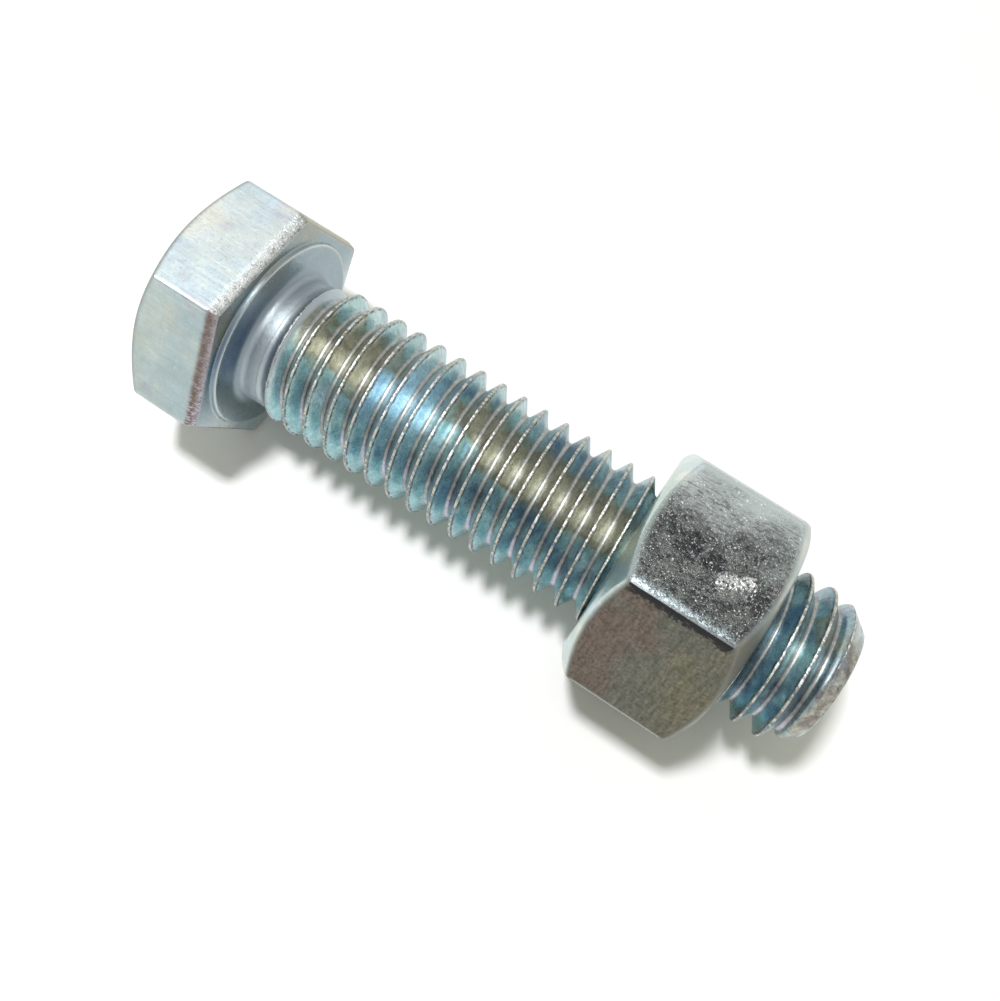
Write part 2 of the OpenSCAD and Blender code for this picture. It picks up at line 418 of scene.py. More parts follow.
def build_bolt(sizes):
    """The whole bolt as one surface: head, washer face, neck, thread and tip."""
    phi = column_angles()
    outer = hexagon(FLAT_R, sizes.corner_ease, phi)
    under = hexagon(FLAT_R - sizes.trim_inset, sizes.corner_ease, phi)
    chamfer_r = FLAT_R - sizes.chamfer_inset
    drop = (outer - chamfer_r) * math.tan(sizes.chamfer_slope)
    washer_r = FLAT_R - sizes.washer_face_inset
    form_place, form_depth, depth = thread_form(sizes)
    root_r = sizes.thread_r - depth
    neck_r = sizes.thread_r - depth / THREAD_SHARE * BLANK_SHARE
    trim_start = -sizes.washer_face_h - sizes.trim_len
    head = column_points(
        (-HEAD_H, POLE_R), (-HEAD_H, chamfer_r), (-HEAD_H + drop, outer),
        (trim_start, outer), (-sizes.washer_face_h, under),
        (-sizes.washer_face_h, washer_r + RIM_EASE), (0.0, washer_r),
        (0.0, neck_r), (sizes.neck_len, neck_r))
    ease = [*[sizes.edge_ease] * 4, RIM_EASE, RIM_EASE, sizes.neck_fillet]
    head_rows = eased_path(head, ease, (5, 2, 8, 3, 3, 1, 4, 4))
    at, out = head_rows[..., 0], head_rows[..., 1]
    tip_r = root_r - sizes.tip_inset
    tip_rows = eased_path(column_points((SHANK_LEN, tip_r), (SHANK_LEN, POLE_R)), [], (6,))
    place, before, after = helix_grid(sizes, sizes.neck_len, SHANK_LEN, phi, form_place)
    inner = np.clip(place, sizes.neck_len, SHANK_LEN)
    rise = np.clip((inner - sizes.neck_len) / sizes.run_out, 0, 1)
    rise = rise * rise * (3 - 2 * rise)
    form_height = np.tile(1 - form_depth / depth, len(place) // len(form_depth))[:, None]
    radius = neck_r + (root_r + depth * form_height - neck_r) * rise
    tip_cone = tip_r + (SHANK_LEN - inner) * math.tan(sizes.tip_slope)
    whole = soft_min(radius, tip_cone, TIP_EASE)
    points = np.concatenate([
        on_axis(at, out, phi), on_axis(inner, whole, phi), on_axis(tip_rows[..., 0], tip_rows[..., 1], phi),
        on_axis(np.array([-HEAD_H, SHANK_LEN]), 0.0, 0.0)])
    thread_id = len(head_rows) * COLUMNS
    tip_id = thread_id + place.size
    pole_id = tip_id + len(tip_rows) * COLUMNS
    column = np.arange(COLUMNS)
    start_ring = thread_id - COLUMNS + column
    end_ring = tip_id + column
    last_ring = pole_id - COLUMNS + column
    triangles = np.concatenate([
        ring_faces(0, len(head_rows)),
        helix_faces(thread_id, len(form_place), before, after, len(place), start_ring, end_ring),
        ring_faces(tip_id, len(tip_rows)),
        np.stack([np.full(COLUMNS, pole_id), np.roll(column, -1), column], -1),
        np.stack([np.full(COLUMNS, pole_id + 1), last_ring, np.roll(last_ring, -1)], -1)])
    on_flat = (out > under - RIM_EASE) & (at < RIM_EASE - sizes.washer_face_h)
    cut_away = (whole < radius - RIM_EASE) & (tip_cone < root_r + TIP_HEIGHT * depth)
    height = np.where(cut_away, TIP_HEIGHT, form_height * np.clip(FIRST_CREST * rise, 0, 1))
    form = np.tile(form_place, len(place) // len(form_place))[:, None]
    along = helix_length(place - form, phi, sizes.thread_r, sizes.pitch)
    trim = np.where(on_flat, np.clip((at - trim_start) / sizes.trim_len, -1, 1), -1.0)
    below = np.clip((at + sizes.washer_face_h + RIM_EASE) / RIM_EASE, 0, 1) * (out < under - RIM_EASE)
    ledge = below * (out > washer_r + RIM_EASE)
    # Painted shade: each flat of the head lighter or darker by its own number
    shade = np.where(on_flat, flat_values(HEAD_SHADES, phi), 1.0)
    # Painted shade: a dark line along the edge between the chamfer and the flats
    lip = 1 - np.clip(np.abs(at + HEAD_H - drop) / CHAMFER_SHADE_W, 0, 1)
    lip = lip * (out > outer - CHAMFER_SHADE_W)
    # Painted highlight: a pale line round the washer face's rim
    rim = np.clip(RIM_HIGHLIGHT_REACH - np.hypot(at, out - washer_r) / RIM_EASE, 0, 1)
    neck = np.clip((neck_r + sizes.neck_fillet - out) / sizes.neck_fillet, 0, 1) * (at > -RIM_EASE)
    on_head = {"lip": lip, "trim": trim, "below": below, "neck": neck, "rim": rim,
               "ledge": ledge, "shade": shade}
    on_thread = {"neck": np.ones(place.shape), "threaded": rise, "height": height, "along": along}
    masks = point_masks(len(points), ((0, on_head), (thread_id, on_thread)), {"trim": -1.0, "shade": 1.0})
    return make_mesh("bolt", points, triangles, masks)


def build_nut(sizes):
    """The whole nut as one surface: its outside, both countersinks and the thread inside."""
    phi = column_angles()
    outer = hexagon(FLAT_R, sizes.nut_corner_ease, phi)
    chamfer_r = FLAT_R - sizes.chamfer_inset
    drop = (outer - chamfer_r) * math.tan(sizes.chamfer_slope)
    form_place, form_depth, depth = thread_form(sizes)
    groove_r = sizes.thread_r + sizes.thread_play
    mouth_r = groove_r + sizes.countersink
    start, end = NUT_START + sizes.countersink, NUT_END - sizes.countersink
    skin = column_points(
        (start, groove_r), (NUT_START, mouth_r), (NUT_START, chamfer_r), (NUT_START + drop, outer),
        (NUT_END - drop, outer), (NUT_END, chamfer_r), (NUT_END, mouth_r), (end, groove_r))
    ease = [RIM_EASE, *[sizes.nut_edge_ease] * 4, RIM_EASE]
    rows = eased_path(skin, ease, (1, 3, 3, 10, 3, 3, 1))
    at, out = rows[..., 0], rows[..., 1]
    place, before, after = helix_grid(sizes, start, end, phi, form_place)
    inner = np.clip(place, start, end)
    tooth_r = groove_r - TOOTH_SHARE * depth
    turned = np.tile(groove_r - form_depth, len(place) // len(form_depth))[:, None]
    from_mouth = np.minimum(inner - start, end - inner)
    radius = np.maximum(np.maximum(turned, tooth_r), groove_r - from_mouth)
    points = np.concatenate([on_axis(at, out, phi), on_axis(inner, radius, phi)])
    thread_id = len(rows) * COLUMNS
    column = np.arange(COLUMNS)
    bore = helix_faces(thread_id, len(form_place), before, after, len(place),
                       column, thread_id - COLUMNS + column)
    triangles = np.concatenate([ring_faces(0, len(rows)), bore[:, ::-1]])
    from_end = np.minimum(at - NUT_START, NUT_END - at)
    flat = np.clip((from_end - drop + RIM_EASE) / sizes.nut_edge_ease, 0, 1) * (out > chamfer_r)
    past = ((phi + np.pi / 6) % (np.pi / 3) - np.pi / 6) / CORNER_REACH
    before = np.where(past <= 0, np.clip(1 + past, 0, 1), 0.0)
    after = np.where(past > 0, np.clip(1 - past, 0, 1), 0.0)
    # Painted shade on the far chamfer, laid as film that grows towards the front
    end_tone = np.clip(SHADE_MIDDLE - out * np.cos(phi) / SHADE_SPREAD, *SHADE_RANGE)
    far_chamfer_shade = (at > (NUT_START + NUT_END) / 2) * end_tone
    # The film mask holds brown film on the flats and painted shade on the far chamfer
    outside = {"flat": flat, "film": flat * flat_values(NUT_FILM, phi) + (1 - flat) * far_chamfer_shade,
               "before": flat * before, "after": flat * after}
    masks = point_masks(len(points), ((0, outside), (thread_id, {"threaded": np.ones(place.size)})), {})
    return make_mesh("nut", points, triangles, masks)


class Nodes:
    """A node tree, its position in metres, and short ways to add nodes and take their results."""

    def __init__(self, tree, position=None):
        self.tree = tree
        self.position = position

    def measure(self):
        """Adds the place, whole and as x, y and z, in millimetres from the middle of the washer face."""
        from_face = self.vector("SUBTRACT", self.position, (WASHER_FACE_X, 0.0, AXIS_Z))
        self.place = self.vector("SCALE", from_face, 1 / MM)
        self.x, self.y, self.z = self.parts(self.place)

    def add(self, kind, values=None, **settings):
        """A new node with its settings, and each input in values set to a value or linked to a result."""
        node = self.tree.nodes.new(kind)
        for name, value in settings.items():
            setattr(node, name, value)
        for key, value in (values or {}).items():
            if isinstance(value, bpy.types.NodeSocket):
                self.tree.links.new(value, node.inputs[key])
            else:
                node.inputs[key].default_value = (*value, 1.0) if isinstance(value, Color) else value
        return node

    def link(self, result, target):
        """Feeds a result into an input."""
        self.tree.links.new(result, target)

    def combine(self, operation, first, *others):
        """One operation on the first number and each of the others in turn."""
        for other in others:
            first = self.add("ShaderNodeMath", {0: first, 1: other}, operation=operation).outputs[0]
        return first

    times = partialmethod(combine, "MULTIPLY")
    plus = partialmethod(combine, "ADD")
    minus = partialmethod(combine, "SUBTRACT")
    most = partialmethod(combine, "MAXIMUM")

    def coats(self, colour, *coats, blend="MIX"):
        """A colour with coats laid over it in turn, each given as its share and its colour."""
        for share, coat in coats:
            values = {0: share, 6: colour, 7: coat}
            colour = self.add("ShaderNodeMix", values, data_type="RGBA", blend_type=blend).outputs[2]
        return colour

    def shaded(self, colour, *factors):
        """A colour made lighter and darker by factors."""
        return self.coats(colour, *((1.0, factor) for factor in factors), blend="MULTIPLY")

    def ease(self, value, low, high, start=0.0, end=1.0):
        """A smooth step from start, where value is low, to end, where it is high."""
        values = {"Value": value, "From Min": low, "From Max": high, "To Min": start, "To Max": end}
        return self.add("ShaderNodeMapRange", values, interpolation_type="SMOOTHSTEP").outputs["Result"]

    def noise(self, scale, detail=2.0, roughness=0.5, stretch=None):
        """Smooth noise from 0 to 1, with scale bumps to the metre, times stretch along each axis."""
        place = self.position
        if stretch:
            place = self.add("ShaderNodeMapping", {"Vector": place, "Scale": stretch}).outputs["Vector"]
        values = {"Vector": place, "Scale": scale, "Detail": detail, "Roughness": roughness}
        return self.add("ShaderNodeTexNoise", values).outputs["Fac"]

    def noise_along(self, place, scale, roughness=0.5):
        """Noise that changes along one line only."""
        values = {"W": place, "Scale": scale, "Detail": 3.0, "Roughness": roughness}
        return self.add("ShaderNodeTexNoise", values, noise_dimensions="1D").outputs["Fac"]

    def parts(self, position):
        """X, Y and Z of a position."""
        return self.add("ShaderNodeSeparateXYZ", {"Vector": position}).outputs

    def mask(self, name):
        """A mask that the piece's own mesh carries."""
        return self.add("ShaderNodeAttribute", attribute_name=name).outputs["Fac"]

    def group(self, name, **values):
        """The outputs of a shared node group, made when it is first used, with its own values here."""
        tree = bpy.data.node_groups.get(name) or GROUPS[name]()
        return self.add("ShaderNodeGroup", {"Position": self.position, **values}, node_tree=tree).outputs

    def vector(self, operation, a, b, result="Vector"):
        """A result of one operation on two vectors, or on a vector and the number that scales it."""
        values = {0: a, "Scale" if operation == "SCALE" else 1: b}
        return self.add("ShaderNodeVectorMath", values, operation=operation).outputs[result]

    def blots(self, place, *spots):
        """Soft round blots at a place in millimetres, each given as its centre and reach."""
        found = []
        for centre, reach in spots:
            away = self.vector("DISTANCE", place, centre, "Value")
            found.append(self.ease(away, BLOT_CORE * reach, reach, 1.0, 0.0))
        return self.most(*found)

    def frayed(self, place, scale, amount):
        """A place pushed about by noise, so that what is drawn with it has frayed edges."""
        values = {"Vector": self.position, "Scale": scale, "Detail": 3.0}
        shift = self.add("ShaderNodeTexNoise", values).outputs["Color"]
        shift = self.vector("SUBTRACT", shift, (0.5, 0.5, 0.5))
        return self.vector("ADD", place, self.vector("SCALE", shift, amount))


def new_group(name, inputs, outputs, kind="Float"):
    """A shader node group from the position and inputs to outputs of one kind, and its sockets."""
    tree = bpy.data.node_groups.new(name, "ShaderNodeTree")
    tree.interface.new_socket("Position", in_out="INPUT", socket_type="NodeSocketVector")
    for way, labels in (("INPUT", inputs), ("OUTPUT", outputs)):
        for label in labels:
            tree.interface.new_socket(label, in_out=way, socket_type="NodeSocket" + kind)
    given = tree.nodes.new("NodeGroupInput").outputs
    return Nodes(tree, given["Position"]), given, tree.nodes.new("NodeGroupOutput").inputs


def tint_group():
    """Plating tints: soft patches of a cool, a warm and a deep tint over the plain plating.

    Three layers of noise, about 5, 4 and 2.5 mm across, lay the tints, and a fine one, about 0.3 mm across,
    makes the plating a little lighter and darker.
    """
    tints = ("Plain", "Cool", "Warm", "Deep")
    n, given, result = new_group("plating tints", tints, ("Color",), "Color")
    cool = n.ease(n.noise(190, 3), 0.46, 0.66)
    warm = n.ease(n.noise(260, 3, stretch=(1.0, 1.3, 1.3)), 0.50, 0.70)
    deep = n.ease(n.noise(420, 2, stretch=(1.2, 0.9, 1.1)), 0.56, 0.74, 0.0, 0.7)
    colour = n.coats(given["Plain"], (cool, given["Cool"]), (warm, given["Warm"]), (deep, given["Deep"]))
    fine = n.ease(n.noise(3200, 3, 0.7), 0.3, 0.7, 0.94, 1.04)
    n.link(n.shaded(colour, fine), result["Color"])
    return n.tree


def brush_group():
    """Brushed lines along the axis: noise drawn out about forty times along X."""
    n, _, result = new_group("brushed lines", (), ("Height",))
    fine = n.noise(1.0, 3, stretch=(200, 8000, 8000))
    broad = n.noise(1.0, 2, stretch=(150, 2400, 2400))
    n.link(n.plus(fine, n.times(broad, 0.5)), result["Height"])
    return n.tree


def pit_group():
    """Pitted skin: rough grain about a height of 0.5, and the dark specks in its hollows."""
    n, given, result = new_group("pitted skin", ("Scale",), ("Height", "Specks"))
    grain = n.noise(given["Scale"], 3, 0.65)
    coarse = n.noise(n.times(given["Scale"], 0.35), 2, 0.5)
    both = n.plus(grain, n.times(n.minus(coarse, 0.5), 0.6))
    n.link(both, result["Height"])
    n.link(n.ease(both, 0.5, 0.36), result["Specks"])
    return n.tree


def spark_group():
    """Sparks: small bright grains that stand up at random.

    Space is cut into cells about a Scale-th of a metre wide. A cell holds a grain where its random number
    is within Density of 1. Grains differ in brightness, and fall off from the cell's centre.
    """
    n, given, result = new_group("sparks", ("Scale", "Density"), ("Sparks",))
    cells = n.add("ShaderNodeTexVoronoi", {"Vector": n.position, "Scale": given["Scale"]}).outputs
    chance = n.add("ShaderNodeSeparateColor", {"Color": cells["Color"]}).outputs
    chosen = n.combine("GREATER_THAN", n.plus(chance["Red"], given["Density"]), 1.0)
    brightness = n.ease(chance["Green"], 0.0, 1.0, 0.3, 1.0)
    n.link(n.times(chosen, brightness, n.ease(cells["Distance"], 0.6, 0.15)), result["Sparks"])
    return n.tree


GROUPS = {"plating tints": tint_group, "brushed lines": brush_group, "pitted skin": pit_group,
          "sparks": spark_group}


def new_material(name):
    """A node material, its nodes, which carry its Object coordinates, and its Principled shader."""
    material = bpy.data.materials.new(name)
    material.use_nodes = True
    n = Nodes(material.node_tree)
    n.position = n.add("ShaderNodeTexCoord").outputs["Object"]
    return material, n, n.tree.nodes["Principled BSDF"]


def plate(n, shader, colour, rough, relief):
    """Makes the shader metal of the given colour and roughness, raised by relief times BUMP_DEPTH."""
    n.link(colour, shader.inputs["Base Color"])
    n.link(rough, shader.inputs["Roughness"])
    shader.inputs["Metallic"].default_value = 1.0
    raised = n.add("ShaderNodeBump", {"Height": relief, "Strength": 1.0, "Distance": BUMP_DEPTH})
    n.link(raised.outputs["Normal"], shader.inputs["Normal"])


def head_colour(n, hue, brushed):
    """Pale brushed flats, each in its own painted shade, a painted-shade underside and grey fillet, and the
    neck.
    """
    shade, neck = n.mask("shade"), n.mask("neck")
    pale = n.group("plating tints", Plain=hue.pale, Cool=hue.blue, Warm=hue.cream, Deep=hue.lilac)
    # Painted shade: darker flats are tinted teal, then each flat is darkened by its shade
    pale = n.coats(pale["Color"], (n.ease(shade, 0.86, 0.74, 0.0, 0.3), hue.teal))
    cloud = n.ease(n.noise(520, 4, 0.65), 0.3, 0.7, 0.92, 1.04)
    pale = n.shaded(pale, shade, cloud, n.ease(brushed, 0.5, 1.0, 0.95, 1.04))
    # Painted light: the ledge under the head paler towards the bottom
    ledge_painted_light = n.ease(n.z, 2.0, -5.0, 0.0, 0.8)
    # Painted shade: the washer face under the head darkened
    under = [(n.times(n.mask("below"), 0.9), hue.under), (n.times(n.mask("ledge"), ledge_painted_light), pale)]
    # Painted shade under the head, and an umber patch on the washer face
    for spot, area, name, share in UNDER_SHADE_AND_PATCHES:
        under.append((n.times(n.blots(n.place, spot), share, n.mask(area)), getattr(hue, name)))
    return n.coats(
        pale, *under,
        # Painted shade on the fillet, then the plain neck
        (n.ease(neck, 0.1, 0.8), hue.fillet_shade), (n.ease(neck, 0.8, 1.0), hue.neck),
        # Painted highlight in cream round the washer face's rim, and painted shade as a dark line at the
        # chamfer
        (n.times(n.mask("rim"), 0.6), hue.cream), (n.times(n.mask("lip"), 0.6), hue.grime_and_shade))


def flank_colour(n, hue, streak):
    """Teal, navy and blue patches, olive stains, a soiled tip, a painted glow, painted shade and painted dark
    roots.
    """
    height = n.mask("height")
    patch = n.noise(330, 3, 0.6, stretch=(1.0, 0.8, 0.8))
    patch = n.minus(patch, n.ease(n.x, 12.0, 26.0, 0.0, 0.08))
    drawn = n.frayed(n.place, 620, 2.6)
    stain = n.blots(drawn, *STAINS)
    # Painted shade: a blue-black band 2 to 4 mm above the axis, growing towards the nut
    thread_shade = n.times(
        n.ease(n.z, 5.2, 4.0), n.ease(n.z, 0.4, 2.0), n.ease(n.x, 13.0, 21.0, 0.2, 1.0),
        n.ease(n.noise(460, 3), 0.44, 0.62, 0.05, 0.6))
    end = n.ease(n.parts(drawn)["X"], SHANK_LEN / MM - 2.6, SHANK_LEN / MM - 0.6, 0.0, 0.9)
    end_tone = n.coats(
        hue.trim_brown,
        (n.ease(n.noise(900, 4, 0.65), 0.36, 0.68), hue.olive),
        (n.ease(n.y, 0.5, 3.5, 0.0, 0.7), hue.blue))
    flank = n.coats(
        hue.teal,
        (n.ease(patch, 0.34, 0.52, 1.0, 0.0), hue.navy),
        (n.ease(patch, 0.52, 0.70, 0.0, 0.7), hue.blue),
        # Painted highlight: a blue glow on the flanks
        (n.times(n.blots(drawn, AZURE_GLOW), 0.8), hue.azure_glow),
        (n.ease(stain, 0.02, 0.2, 0.0, 0.6), hue.moss),
        (n.ease(stain, 0.16, 0.36, 0.0, 0.85), hue.umber),
        (n.ease(stain, 0.3, 0.75, 0.0, 0.95), hue.olive),
        # Painted shade: turquoise low on the thread's sides
        (n.ease(n.z, 2.4, 0.6, 0.0, 0.75), hue.shade_turquoise),
        (thread_shade, hue.ink),
        (end, end_tone))
    rolled = n.noise_along(n.plus(height, n.noise(700, 2)), 34.0)
    flank = n.shaded(flank, n.ease(rolled, 0.35, 0.65, 0.82, 1.14))
    bottom = n.ease(height, 0.16, 0.0)
    # Painted shade: the roots darken to plum down the thread's sides
    deep = n.coats(hue.root, (n.ease(n.z, 4.4, 3.2), hue.root_shade))
    low = n.times(n.ease(n.z, 2.8, 0.6), n.ease(patch, 0.62, 0.42, 0.15, 0.7))
    flank = n.coats(
        flank,
        (n.times(bottom, 0.8), deep),
        (n.times(bottom, n.ease(streak, 0.58, 0.40, 0.0, 0.6)), hue.umber),
        (n.times(n.most(bottom, n.ease(height, 0.7, 0.9, 0.0, 0.5)), low), hue.lilac))
    fine = n.ease(n.noise(4800, 3, 0.7), 0.3, 0.7, 0.84, 1.12)
    broad = n.ease(n.noise(1700, 4, 0.7), 0.3, 0.7, 0.84, 1.14)
    return n.shaded(flank, n.times(fine, broad))


def crest_coats(n, hue, streak, fleck):
    """A ragged rim of painted shade along the crests, and worn metal painted darker low and brightest on top.
    """
    mottle = n.plus(fleck, streak)
    ragged = n.plus(n.mask("height"), n.times(n.minus(mottle, 1.0), 0.12))
    # Painted shade: a dark rim along the crests
    rim = n.times(
        n.ease(ragged, 0.8, 0.9), n.ease(streak, 0.42, 0.62, 0.1, 0.85),
        n.ease(n.mask("threaded"), 0.4, 1.0, 0.2, 1.0))
    # Painted shade and highlight: crests darker low on the thread, and bright on top
    wear_and_light = n.minus(mottle, n.times(n.ease(n.z, 4.6, 2.0), 0.1))
    bright = n.times(n.ease(n.z, 4.2, 5.4), n.ease(wear_and_light, 0.96, 1.1), n.ease(n.y, 2.6, 0.6))
    bare = n.coats(hue.grime_and_shade, (n.ease(wear_and_light, 0.82, 1.06, 0.15, 1.0), hue.crest), (bright, hue.spark_and_highlight))
    return (rim, hue.grime_and_shade), (n.ease(ragged, 0.945, 1.0), bare)


def trimmed_edge(n, hue, at, pits, sparks):
    """Share and colour of the trimmed edge: torn, sparkling metal, with a ribbed brown film in front."""
    brown = n.ease(n.y, -4.8, -5.5)
    wobble = n.times(n.minus(pits["Height"], 0.5), n.ease(n.y, -4.8, -5.5, 0.5, 0.2))
    trim = n.ease(n.plus(at, wobble), -0.05, 0.35)
    combed = n.noise(1.0, 2, stretch=(900, 6400, 6400))
    ribs = n.times(n.ease(combed, 0.48, 0.6), n.ease(n.z, 5.0, 0.0, 0.2, 0.75))
    film = n.coats(
        hue.trim_brown, (ribs, hue.lilac), (n.ease(at, 0.45, 0.95, 0.0, 0.4), hue.lilac),
        (n.times(pits["Specks"], 0.6), hue.grime_and_shade))
    dark = n.plus(n.times(pits["Specks"], 0.45), n.ease(at, 0.3, 1.0, 0.0, 0.35))
    torn = n.coats(hue.torn, (dark, hue.grime_and_shade), (sparks, hue.spark_and_highlight), (n.ease(n.y, 4.8, 5.5), hue.umber))
    return trim, n.coats(torn, (brown, film))


def bolt_finish(hue):
    """Bright zinc: pale brushed flats, teal thread with olive stains, worn crests, a torn trimmed edge,
    painted light.
    """
    material, n, shader = new_material("bolt zinc")
    n.measure()
    threaded = n.mask("threaded")
    brushed = n.group("brushed lines")["Height"]
    pits = n.group("pitted skin", Scale=7000.0)
    sparks = n.group("sparks", Scale=6500.0, Density=0.2)["Sparks"]
    streak = n.noise_along(n.mask("along"), 1300.0, 0.7)
    fleck = n.noise(4600, 3, 0.75)
    trim, edge = trimmed_edge(n, hue, n.mask("trim"), pits, sparks)
    colour = n.coats(
        head_colour(n, hue, brushed),
        (n.ease(threaded, 0.45, 1.0), flank_colour(n, hue, streak)),
        *crest_coats(n, hue, streak, fleck),
        (trim, edge))
    grain = n.noise(3000, 3, 0.7)
    plain_neck = n.times(n.mask("neck"), n.ease(threaded, 0.2, 0.8, 1.0, 0.0))
    rough = n.plus(n.ease(grain, 0.3, 0.7, 0.26, 0.36), n.times(trim, 0.06), n.times(plain_neck, 0.1))
    plain = n.minus(1.0, n.most(threaded, n.mask("below")))
    relief = n.plus(
        n.times(brushed, plain, 0.26),
        n.times(grain, n.plus(n.times(plain_neck, 0.25), 0.12)),
        n.times(trim, n.plus(n.times(pits["Height"], 0.5), sparks)),
        n.times(n.plus(n.times(fleck, 0.6), streak), n.ease(n.mask("height"), 0.85, 1.0)))
    plate(n, shader, colour, rough, relief)
    return material


def pitted_skin(n, hue, pits, towards_back, smears, scrape):
    """Pitted slate that clears to pale plating through fine dashes, with black smears and a bright scrape."""
    half_way = n.times(n.ease(towards_back, 0.05, 0.4), n.ease(towards_back, 0.7, 1.0, 1.0, 0.0))
    dashes = n.ease(n.noise(1.0, 2, stretch=(1500, 6500, 6500)), 0.5, 0.62, 0.0, 0.6)
    pitted = n.times(pits["Specks"], n.ease(towards_back, 0.0, 0.9, 0.85, 0.0))
    cloud = n.ease(n.noise(560, 4, 0.65), 0.48, 0.6, 0.0, 0.45)
    smeared = n.plus(smears, n.minus(0.5, pits["Height"]))
    broken = n.ease(n.noise(3600, 3, 0.7), 0.44, 0.56, 0.0, 0.9)
    return n.coats(
        hue.nut_slate,
        (towards_back, hue.pale),
        (n.times(dashes, half_way), hue.grime_and_shade),
        (pitted, hue.crease),
        (n.times(cloud, n.ease(towards_back, 0.15, 0.7, 1.0, 0.0)), hue.crease),
        (n.ease(smeared, 0.3, 0.7, 0.0, 0.7), hue.crease),
        (n.times(n.ease(scrape, 0.25, 0.5), broken), hue.spark_and_highlight))


def dull_film(n, hue, flat):
    """Brown, green and olive film that changes along the nut, grained, scuffed, and dark with painted shade
    on chamfers.
    """
    along = n.ease(n.x, NUT_START / MM, NUT_END / MM, 0.1, 0.38)
    tone = n.plus(n.times(n.noise(330, 3), 0.5), along)
    grain = n.noise(4200, 3, 0.7)
    scuffs = n.noise(1.0, 3, stretch=(4200, 900, 900))
    dull = n.coats(
        hue.nut_brown, (n.ease(tone, 0.34, 0.54), hue.nut_green), (n.ease(tone, 0.46, 0.68), hue.nut_olive))
    dull = n.shaded(dull, n.ease(grain, 0.25, 0.75, 0.7, 1.3), n.ease(scuffs, 0.3, 0.7, 0.84, 1.16))
    # Painted shade: grime colour on the chamfers where the film lies
    return n.coats(dull, (n.minus(0.6, n.times(flat, 0.6)), hue.grime_and_shade))


def corner_coats(n, hue, before, after, film, grains):
    """Coats for the chipped nut corner at the top front, its painted highlights, and the glitter in its black
    crease.
    """
    start = NUT_START / MM
    wander = n.times(n.minus(n.noise(3400, 4, 0.7), 0.5), 1.1)
    near = n.plus(before, wander)
    ridge = n.times(n.ease(n.y, -2.5, -4.0), n.ease(n.z, 3.0, 5.0))
    fading = n.ease(n.x, start + 1.5, start + 6.0, 0.95, 0.45)
    soil = n.ease(n.plus(n.x, n.times(wander, 6.0)), start + 2.0, start + 7.0, 0.0, 0.85)
    worn = n.times(soil, n.ease(near, 0.78, 0.96))
    crease = n.times(n.most(worn, n.ease(n.plus(after, wander), 0.58, 0.76)), ridge, 0.92)
    glitter = n.times(grains, crease, n.ease(before, 0.5, 0.9))
    # Painted highlight: a pale glint along the edge of each flat with film
    glint = n.times(n.ease(before, 0.82, 0.97, 0.0, 0.7), film)
    # Painted highlight in pale blue along the top flat's edge at the corner, fading along the nut
    coats = ((n.times(n.ease(near, 0.5, 0.9), ridge, fading), hue.blue), (crease, hue.crease),
             (glitter, hue.spark_and_highlight), (glint, hue.pale))
    return coats, glitter


def nut_finish(hue):
    """Dull zinc: pitted slate flats with sparks or brown film, pale mint chamfers and a teal bore."""
    material, n, shader = new_material("nut zinc")
    n.measure()
    flat, film, before, after, threaded = map(n.mask, ("flat", "film", "before", "after", "threaded"))
    mint = n.group("plating tints", Plain=hue.nut_mint, Cool=hue.blue, Warm=hue.cream, Deep=hue.nut_mint)
    pits = n.group("pitted skin", Scale=5000.0)
    brushed = n.group("brushed lines")["Height"]
    cloud = n.noise(260, 4, 0.6)
    # Paler and smoother towards the back of the top flat
    towards_back = n.ease(n.plus(n.y, n.times(n.minus(cloud, 0.5), 5.0)), -0.5, 5.5)
    clear = n.times(flat, n.ease(film, 0.2, 0.7, 1.0, 0.0))
    drawn = n.frayed(n.place, 1500, 0.9)
    scrape = n.blots(drawn, *SCRAPES)
    skin = pitted_skin(n, hue, pits, towards_back, n.blots(drawn, *SMEARS), scrape)

    density = n.plus(n.ease(cloud, 0.35, 0.65, 0.24, 0.44), n.times(scrape, 0.4))
    density = n.times(density, n.ease(towards_back, 0.2, 1.0, 1.0, 0.25))
    crumbled = n.frayed(n.position, 6000, 0.25 * MM)
    small = n.group("sparks", Position=crumbled, Scale=7400.0, Density=density)["Sparks"]
    large = n.group("sparks", Position=crumbled, Scale=4800.0, Density=n.times(density, 0.3))["Sparks"]
    sparks = n.times(n.most(small, large), clear)
    corner, glitter = corner_coats(n, hue, before, after, film, large)
    colour = n.coats(
        mint["Color"],
        (flat, n.coats(skin, (sparks, hue.spark_and_highlight))),
        (film, dull_film(n, hue, flat)),
        *corner,
        (threaded, hue.teal))
    rough = n.plus(n.ease(cloud, 0.35, 0.65, 0.20, 0.28), n.times(film, 0.16))
    coarse = n.times(clear, n.ease(towards_back, 0.0, 0.8, 0.6, 0.15))
    relief = n.plus(
        n.times(pits["Height"], n.plus(coarse, 0.08)),
        n.times(n.plus(sparks, glitter), 1.9),
        n.times(n.noise(1900, 2), scrape, 9.0, clear),
        n.times(brushed, 0.15),
        n.times(n.noise(420, 2), 0.8))
    plate(n, shader, colour, rough, relief)
    return material


def seen_rays(n):
    """1 for the camera's own rays and for those that metal or glass sends on, and 0 for other light."""
    path = n.add("ShaderNodeLightPath").outputs
    return n.most(path["Is Camera Ray"], path["Is Glossy Ray"], path["Is Transmission Ray"])


